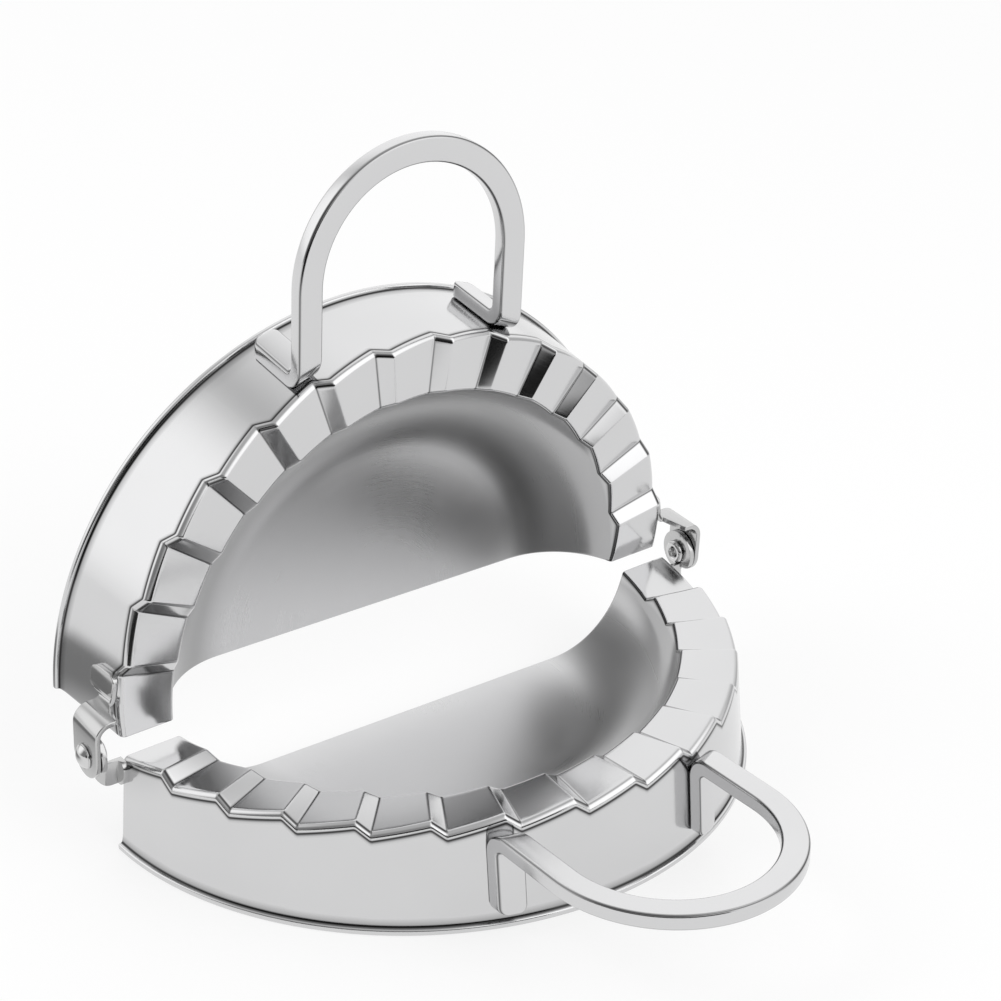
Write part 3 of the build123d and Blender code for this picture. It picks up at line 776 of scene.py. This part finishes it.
studio = {
    "floorSize": 12.0,
    "floorWhite": 0.9,
    "cameraGlow": 0.75,     # how much of the floor is its own white to the camera
    "glossGlow": 0.85,      # and to reflections
    # painted shade on the floor, seen only in reflections: place in mm, inner and outer radius, how dark
    "reflectedShadePatches": [
        (-200, -330, 90, 250, 0.97),
        (-118, 108, 20, 75, 0.75),
    ],
}

floorMesh = bpy.data.meshes.new("floor")
reach = studio["floorSize"] / 2
floorCorners = [(-reach, -reach, 0), (reach, -reach, 0), (reach, reach, 0), (-reach, reach, 0)]
floorMesh.from_pydata(floorCorners, [], [(0, 1, 2, 3)])
floor = bpy.data.objects.new("floor", floorMesh)
bpy.context.scene.collection.objects.link(floor)
floorMaterial = bpy.data.materials.new("paleFloor")
floorMaterial.use_nodes = True
nodes, links = floorMaterial.node_tree.nodes, floorMaterial.node_tree.links
nodes.clear()


def mathNode(operation, first, second):
    # one sum in the floor's material, each side of it a socket or a number
    made = nodes.new("ShaderNodeMath")
    made.operation = operation
    for slot, value in enumerate((first, second)):
        if isinstance(value, (int, float)):
            made.inputs[slot].default_value = value
        else:
            links.new(value, made.inputs[slot])
    return made.outputs[0]


# the floor takes the lamps' light and shadow, and shows its own white to the camera and in reflections
output = nodes.new("ShaderNodeOutputMaterial")
diffuse = nodes.new("ShaderNodeBsdfDiffuse")
glow = nodes.new("ShaderNodeEmission")
path = nodes.new("ShaderNodeLightPath")
reflected = mathNode("MAXIMUM", path.outputs["Is Glossy Ray"], path.outputs["Is Transmission Ray"])
share = mathNode("MAXIMUM", mathNode("MULTIPLY", path.outputs["Is Camera Ray"], studio["cameraGlow"]),
                 mathNode("MULTIPLY", reflected, studio["glossGlow"]))
place = nodes.new("ShaderNodeTexCoord")
light = 1
# painted shade: each patch darkens the floor's white in reflections only
for x, y, inner, outer, dark in studio["reflectedShadePatches"]:
    gap = nodes.new("ShaderNodeVectorMath")
    gap.operation = "DISTANCE"
    gap.inputs[1].default_value = (x / 1000, y / 1000, 0)
    links.new(place.outputs["Object"], gap.inputs[0])
    shadePatch = nodes.new("ShaderNodeMapRange")
    shadePatch.interpolation_type = "SMOOTHSTEP"
    shadePatch.inputs["From Min"].default_value = inner / 1000
    shadePatch.inputs["From Max"].default_value = outer / 1000
    shadePatch.inputs["To Min"].default_value = 1 - dark
    links.new(gap.outputs["Value"], shadePatch.inputs["Value"])
    light = mathNode("MULTIPLY", shadePatch.outputs[0], light)
whiteness = mathNode("MAXIMUM", path.outputs["Is Camera Ray"], light)
links.new(whiteness, glow.inputs["Strength"])
toned = nodes.new("ShaderNodeVectorMath")
toned.operation = "SCALE"
toned.inputs[0].default_value = (studio["floorWhite"],) * 3
notReflected = mathNode("SUBTRACT", 1, reflected)
links.new(mathNode("MAXIMUM", notReflected, light), toned.inputs["Scale"])
links.new(toned.outputs[0], diffuse.inputs["Color"])
mix = nodes.new("ShaderNodeMixShader")
links.new(share, mix.inputs[0])
links.new(diffuse.outputs[0], mix.inputs[1])
links.new(glow.outputs[0], mix.inputs[2])
links.new(mix.outputs[0], output.inputs["Surface"])
floorMesh.materials.append(floorMaterial)


def bearing(azimuth, elevation):
    # direction as a unit vector, its azimuth counted from the back (+Y) round to the right (+X)
    a, e = math.radians(azimuth), math.radians(elevation)
    return np.array([math.sin(a) * math.cos(e), math.cos(a) * math.cos(e), math.sin(e)])


room = {
    "level": 0.6,
    # soft patches of the room's light: azimuth, elevation, half width and how much they add
    "patches": [
        (-47, 25, 24, 0.75),
        (38, 30, 34, 0.6),
        (148, 35, 32, 1.0),
        (-110, 5, 40, -0.35),
    ],
}
world = bpy.data.worlds.new("studio")
bpy.context.scene.world = world
world.use_nodes = True
nodes, links = world.node_tree.nodes, world.node_tree.links
background = nodes["Background"]
coordinate = nodes.new("ShaderNodeTexCoord")
total = None                # the level and all patches so far
for azimuth, elevation, halfWidth, amount in room["patches"]:
    along = nodes.new("ShaderNodeVectorMath")
    along.operation = "DOT_PRODUCT"
    along.inputs[1].default_value = bearing(azimuth, elevation)
    links.new(coordinate.outputs["Generated"], along.inputs[0])
    patch = nodes.new("ShaderNodeMapRange")
    patch.interpolation_type = "SMOOTHSTEP"
    patch.inputs["From Min"].default_value = math.cos(math.radians(halfWidth * 1.5))
    patch.inputs["From Max"].default_value = math.cos(math.radians(halfWidth * 0.5))
    patch.inputs["To Max"].default_value = amount
    links.new(along.outputs["Value"], patch.inputs["Value"])
    add = nodes.new("ShaderNodeMath")
    add.operation = "ADD"
    add.inputs[1].default_value = room["level"]
    links.new(patch.outputs[0], add.inputs[0])
    if total:
        links.new(total.outputs[0], add.inputs[1])
    total = add
links.new(total.outputs[0], background.inputs["Strength"])
background.inputs["Color"].default_value = (1, 1, 1, 1)


def facing(place, target):
    # turns an object's -Z towards the target, with its Y upward
    away = np.array(place, float) - np.array(target, float)
    away /= np.linalg.norm(away)
    across = np.cross((0, 0, 1), away)
    across /= np.linalg.norm(across)
    upward = np.cross(away, across)
    return Matrix([[across[k], upward[k], away[k], place[k]] for k in range(3)] + [[0, 0, 0, 1]])


def softbox(name, azimuth, elevation, distance, width, depth, power, target=(0, 0.02, 0.05)):
    # rectangular lamp at a bearing and a distance from the press, turned towards it
    lamp = bpy.data.lights.new(name, "AREA")
    lamp.shape = "RECTANGLE"
    lamp.size, lamp.size_y, lamp.energy = width, depth, power
    holder = bpy.data.objects.new(name, lamp)
    bpy.context.scene.collection.objects.link(holder)
    holder.matrix_world = facing(np.array(target) + bearing(azimuth, elevation) * distance, target)
    holder.visible_glossy = False               # the room's patches are what the steel reflects


wall = {
    "azimuths": (175, 250),
    "distance": 0.4,        # in metres, round a place on the floor
    "centre": (0, 0.04, 0),
    "height": 0.165,
    "blackUpTo": 0.1,       # above this it fades to grey
    "black": 0.01,
    "grey": 0.6,
}


def gradedWall(name, material):
    # low curved board, part of a cylinder that stands round the press and shows only in its reflections
    turns = np.linspace(*wall["azimuths"], 25)
    foot = np.array([bearing(turn, 0) for turn in turns]) * wall["distance"] + wall["centre"]
    points = np.concatenate([foot, foot + (0, 0, wall["height"])])
    mesh = bpy.data.meshes.new(name)
    mesh.from_pydata(points.tolist(), [], gridFaces(2, len(turns)).tolist())
    mesh.materials.append(material)
    board = bpy.data.objects.new(name, mesh)
    bpy.context.scene.collection.objects.link(board)
    board.visible_camera = board.visible_diffuse = board.visible_shadow = False


# black card that fades to grey at its top edge
gradedCard = bpy.data.materials.new("gradedCard")
gradedCard.use_nodes = True
nodes, links = gradedCard.node_tree.nodes, gradedCard.node_tree.links
nodes.clear()
output = nodes.new("ShaderNodeOutputMaterial")
glow = nodes.new("ShaderNodeEmission")
place = nodes.new("ShaderNodeTexCoord")
axes = nodes.new("ShaderNodeSeparateXYZ")
fade = nodes.new("ShaderNodeMapRange")
fade.interpolation_type = "SMOOTHSTEP"
fade.inputs["From Min"].default_value = wall["blackUpTo"]
fade.inputs["From Max"].default_value = wall["height"]
fade.inputs["To Min"].default_value = wall["black"]
fade.inputs["To Max"].default_value = wall["grey"]
links.new(place.outputs["Object"], axes.inputs[0])
links.new(axes.outputs["Z"], fade.inputs["Value"])
links.new(fade.outputs[0], glow.inputs["Strength"])
links.new(glow.outputs[0], output.inputs["Surface"])
gradedWall("frontWall", gradedCard)

# azimuth, elevation, distance, width, depth and power
softbox("frontSoftbox", 164, 30, 0.9, 0.5, 0.4, 1.6)
softbox("leftSoftbox", -60, 45, 1.0, 0.5, 0.5, 1.6)

# the camera, fitted to the photograph; its lens is given in pixels of a square image
view = {
    "place": (-0.23449, -0.31066, 0.25659),
    "azimuth": 36.124,
    "elevation": 26.162,    # downwards
    "roll": 0.163,
    "focalPixels": 2611.0,
    "imagePixels": 1001,
    "sensor": 36,
    "clip": (0.01, 50),
}
azimuth, roll = math.radians(view["azimuth"]), math.radians(view["roll"])
ahead = bearing(view["azimuth"], -view["elevation"])
levelRight = np.array([math.cos(azimuth), -math.sin(azimuth), 0])
levelUp = np.cross(levelRight, ahead)
rightward = math.cos(roll) * levelRight + math.sin(roll) * levelUp
upward = np.cross(rightward, ahead)
cameraData = bpy.data.cameras.new("photoCamera")
cameraData.sensor_width = view["sensor"]
cameraData.lens = view["focalPixels"] / view["imagePixels"] * view["sensor"]
cameraData.clip_start, cameraData.clip_end = view["clip"]
camera = bpy.data.objects.new("photoCamera", cameraData)
bpy.context.scene.collection.objects.link(camera)
rows = [[rightward[k], upward[k], -ahead[k], view["place"][k]] for k in range(3)]
camera.matrix_world = Matrix(rows + [[0, 0, 0, 1]])
bpy.context.scene.camera = camera
bpy.context.scene.view_settings.view_transform = "Standard"
print("studio: floor, room, two softboxes and the camera")
